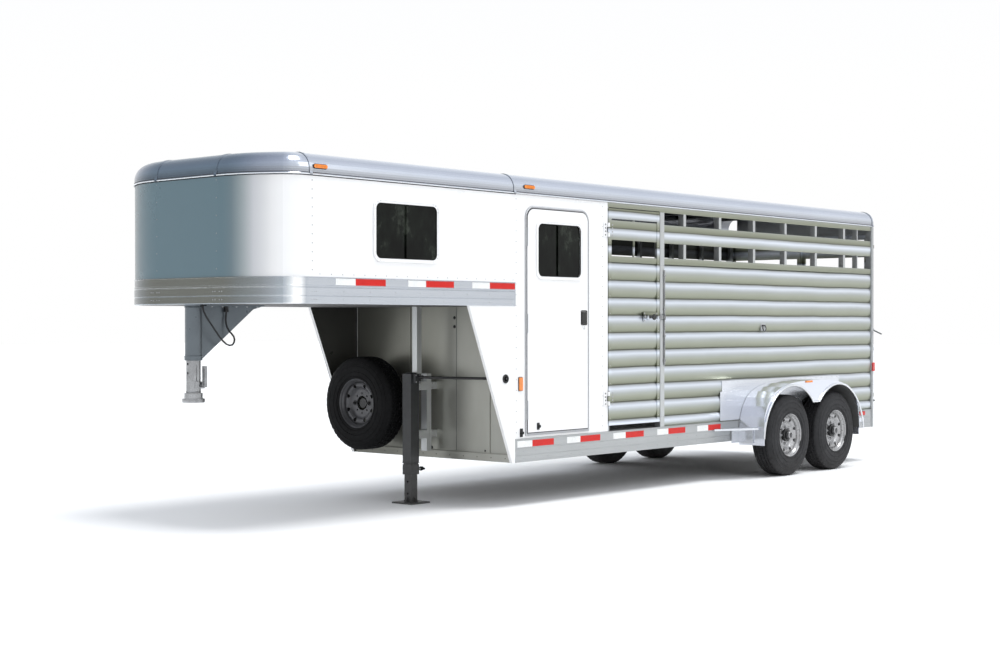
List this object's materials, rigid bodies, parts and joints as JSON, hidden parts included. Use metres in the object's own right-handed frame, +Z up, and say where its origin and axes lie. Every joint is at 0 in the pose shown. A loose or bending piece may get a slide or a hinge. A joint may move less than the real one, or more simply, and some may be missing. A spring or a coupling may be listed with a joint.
{
  "type": "livestock trailer",
  "caption": "Gooseneck livestock trailer with dressing room, slatted stock body, hinged doors, sliding rear half gate, tandem axles, drop leg jack and ball coupler.",
  "frame": {"origin": "on the ground under the middle of the trailer", "axes": "+X towards the nose and coupler, +Y towards the side with the doors, +Z up"},
  "size_m": [8.628, 2.41, 2.678],
  "materials": {
    "rail_aluminium": "satin extrusion",
    "mill_aluminium": "mill finish",
    "floor_aluminium": "ribbed mill finish",
    "slat_aluminium": "satin interlocking slats",
    "post_aluminium": "satin",
    "polished_cap": "polished",
    "roof_white": "white sheet",
    "white_skin": "gloss white sheet",
    "polished_band": "polished",
    "dark_underside": "dark undercoat",
    "bulkhead_aluminium": "mill finish sheet",
    "polished_fender": "polished",
    "bright_plate": "bright",
    "axle_paint": "black",
    "tyre_rubber": "matt rubber",
    "wheel_silver": "silver",
    "spare_grey": "grey",
    "black_steel": "black",
    "jack_grey": "dark grey",
    "leg_zinc": "plated",
    "coupler_grey": "grey",
    "stem_zinc": "zinc plated",
    "cord_rubber": "black jacket",
    "door_trim": "satin trim",
    "door_white": "gloss white",
    "tinted_glass": "tinted",
    "black_plastic": "moulded",
    "lamp_lens": "lens"
  },
  "bodies": {
    "trailer": {"side_rails": "rail_aluminium", "crossmembers": "mill_aluminium", "floor_planks": "floor_aluminium", "slats_left": "slat_aluminium", "slats_right": "slat_aluminium", "slot_slats": "slat_aluminium", "side_posts": "post_aluminium", "rear_frame": "rail_aluminium", "roof_rails": "polished_cap", "nose_cap": "polished_cap", "roof_skin": "roof_white", "roof_bows": "mill_aluminium", "nose_skin": "white_skin", "side_skin_left": "white_skin", "side_skin_right": "white_skin", "band_rails": "polished_band", "nose_band": "polished_band", "nose_floor": "dark_underside", "bulkhead": "bulkhead_aluminium", "wing_panels": "white_skin", "partition_wall": "white_skin", "fender_left": "polished_fender", "fender_right": "polished_fender", "steps": "bright_plate", "axle_beams": "axle_paint", "spare_tyre": "tyre_rubber", "spare_rim": "spare_grey", "spare_carrier": "black_steel", "jack_mount": "post_aluminium", "jack_housing": "jack_grey", "coupler_tube": "coupler_grey", "trailer_cord": "cord_rubber", "door_frame": "door_trim", "nose_windows": "door_white", "nose_glass": "tinted_glass", "lights": "lamp_lens"},
    "wheel_fl": {"tyre_fl": "tyre_rubber", "rim_fl": "wheel_silver"},
    "wheel_rl": {"tyre_rl": "tyre_rubber", "rim_rl": "wheel_silver"},
    "wheel_fr": {"tyre_fr": "tyre_rubber", "rim_fr": "wheel_silver"},
    "wheel_rr": {"tyre_rr": "tyre_rubber", "rim_rr": "wheel_silver"},
    "jack_inner": {"jack_inner_tube": "jack_grey"},
    "jack_leg": {"jack_drop_leg": "leg_zinc"},
    "jack_pin": {"jack_plunger": "black_steel"},
    "jack_crank": {"jack_crank_shaft": "black_steel"},
    "coupler_inner": {"coupler_stem": "stem_zinc"},
    "coupler_pin": {"coupler_latch": "stem_zinc"},
    "dressing_door": {"dress_door": "door_white", "dress_door_glass": "tinted_glass"},
    "dressing_pane": {"dress_door_pane": "tinted_glass"},
    "dressing_latch": {"dress_latch": "black_plastic"},
    "nose_window_pane": {"nose_pane": "tinted_glass"},
    "side_gate": {"escape_door": "slat_aluminium"},
    "side_gate_bar": {"escape_latch": "stem_zinc"},
    "rear_door": {"rear_gate": "slat_aluminium"},
    "rear_half": {"rear_slider": "slat_aluminium"},
    "rear_latch": {"gate_latch": "stem_zinc"}
  },
  "joints": [
    {"name": "wheel_fl_spin", "type": "hinge", "parent": "trailer", "child": "wheel_fl", "pos_m": [-2.048, 1.0625, 0.392], "axis": [0, 1, 0], "continuous": true},
    {"name": "wheel_rl_spin", "type": "hinge", "parent": "trailer", "child": "wheel_rl", "pos_m": [-2.933, 1.0625, 0.392], "axis": [0, 1, 0], "continuous": true},
    {"name": "wheel_fr_spin", "type": "hinge", "parent": "trailer", "child": "wheel_fr", "pos_m": [-2.048, -1.0625, 0.392], "axis": [0, 1, 0], "continuous": true},
    {"name": "wheel_rr_spin", "type": "hinge", "parent": "trailer", "child": "wheel_rr", "pos_m": [-2.933, -1.0625, 0.392], "axis": [0, 1, 0], "continuous": true},
    {"name": "jack_extend", "type": "slide", "parent": "trailer", "child": "jack_inner", "axis": [0, 0, 1], "range_m": [-0.3, 0]},
    {"name": "jack_leg_drop", "type": "slide", "parent": "jack_inner", "child": "jack_leg", "axis": [0, 0, 1], "range_m": [-0.28, 0.17]},
    {"name": "jack_pin_pull", "type": "slide", "parent": "jack_inner", "child": "jack_pin", "axis": [-1, 0, 0], "range_m": [0, 0.02], "stiffness_N_per_m": 900, "springref_m": -0.01},
    {"name": "jack_crank_turn", "type": "hinge", "parent": "trailer", "child": "jack_crank", "pos_m": [2.064, 0.036, 1.034], "axis": [-0.1942, 0.981, 0], "range_deg": [-10801, 1]},
    {"name": "coupler_height", "type": "slide", "parent": "trailer", "child": "coupler_inner", "axis": [0, 0, 1], "range_m": [-0.1, 0.11]},
    {"name": "coupler_pin_pull", "type": "slide", "parent": "coupler_inner", "child": "coupler_pin", "axis": [0, 1, 0], "range_m": [0, 0.018], "stiffness_N_per_m": 900, "springref_m": -0.01},
    {"name": "dressing_door_swing", "type": "hinge", "parent": "trailer", "child": "dressing_door", "pos_m": [1.635, 0.9295, 1.5], "axis": [0, 0, -1], "range_deg": [0, 115]},
    {"name": "dressing_pane_slide", "type": "slide", "parent": "dressing_door", "child": "dressing_pane", "axis": [-1, 0, 0], "range_m": [0, 0.22]},
    {"name": "dressing_latch_lift", "type": "hinge", "parent": "dressing_door", "child": "dressing_latch", "pos_m": [0.897, 0.924, 1.564], "axis": [1, 0, 0], "range_deg": [0, 35], "stiffness_Nm_per_rad": 1.2, "springref_deg": -17.19},
    {"name": "nose_pane_slide", "type": "slide", "parent": "trailer", "child": "nose_window_pane", "axis": [-1, 0, 0], "range_m": [0, 0.27]},
    {"name": "side_gate_swing", "type": "hinge", "parent": "trailer", "child": "side_gate", "pos_m": [0.552, 0.929, 1.5], "axis": [0, 0, -1], "range_deg": [0, 115]},
    {"name": "side_gate_bar_slide", "type": "slide", "parent": "side_gate", "child": "side_gate_bar", "axis": [1, 0, 0], "range_m": [0, 0.045], "stiffness_N_per_m": 600, "springref_m": -0.012},
    {"name": "rear_door_swing", "type": "hinge", "parent": "trailer", "child": "rear_door", "pos_m": [-4.213, -0.911, 1.5], "axis": [0, 0, 1], "range_deg": [0, 155]},
    {"name": "rear_half_slide", "type": "slide", "parent": "rear_door", "child": "rear_half", "axis": [0, -1, 0], "range_m": [0, 0.825]},
    {"name": "rear_latch_turn", "type": "hinge", "parent": "rear_door", "child": "rear_latch", "pos_m": [-4.248, 0.881, 1.4], "axis": [0, 0, 1], "range_deg": [0, 90]}
  ],
  "couplings": [
    {"joint": "jack_crank_turn", "follows": "jack_extend", "rad_per_m": 628.32}
  ]
}
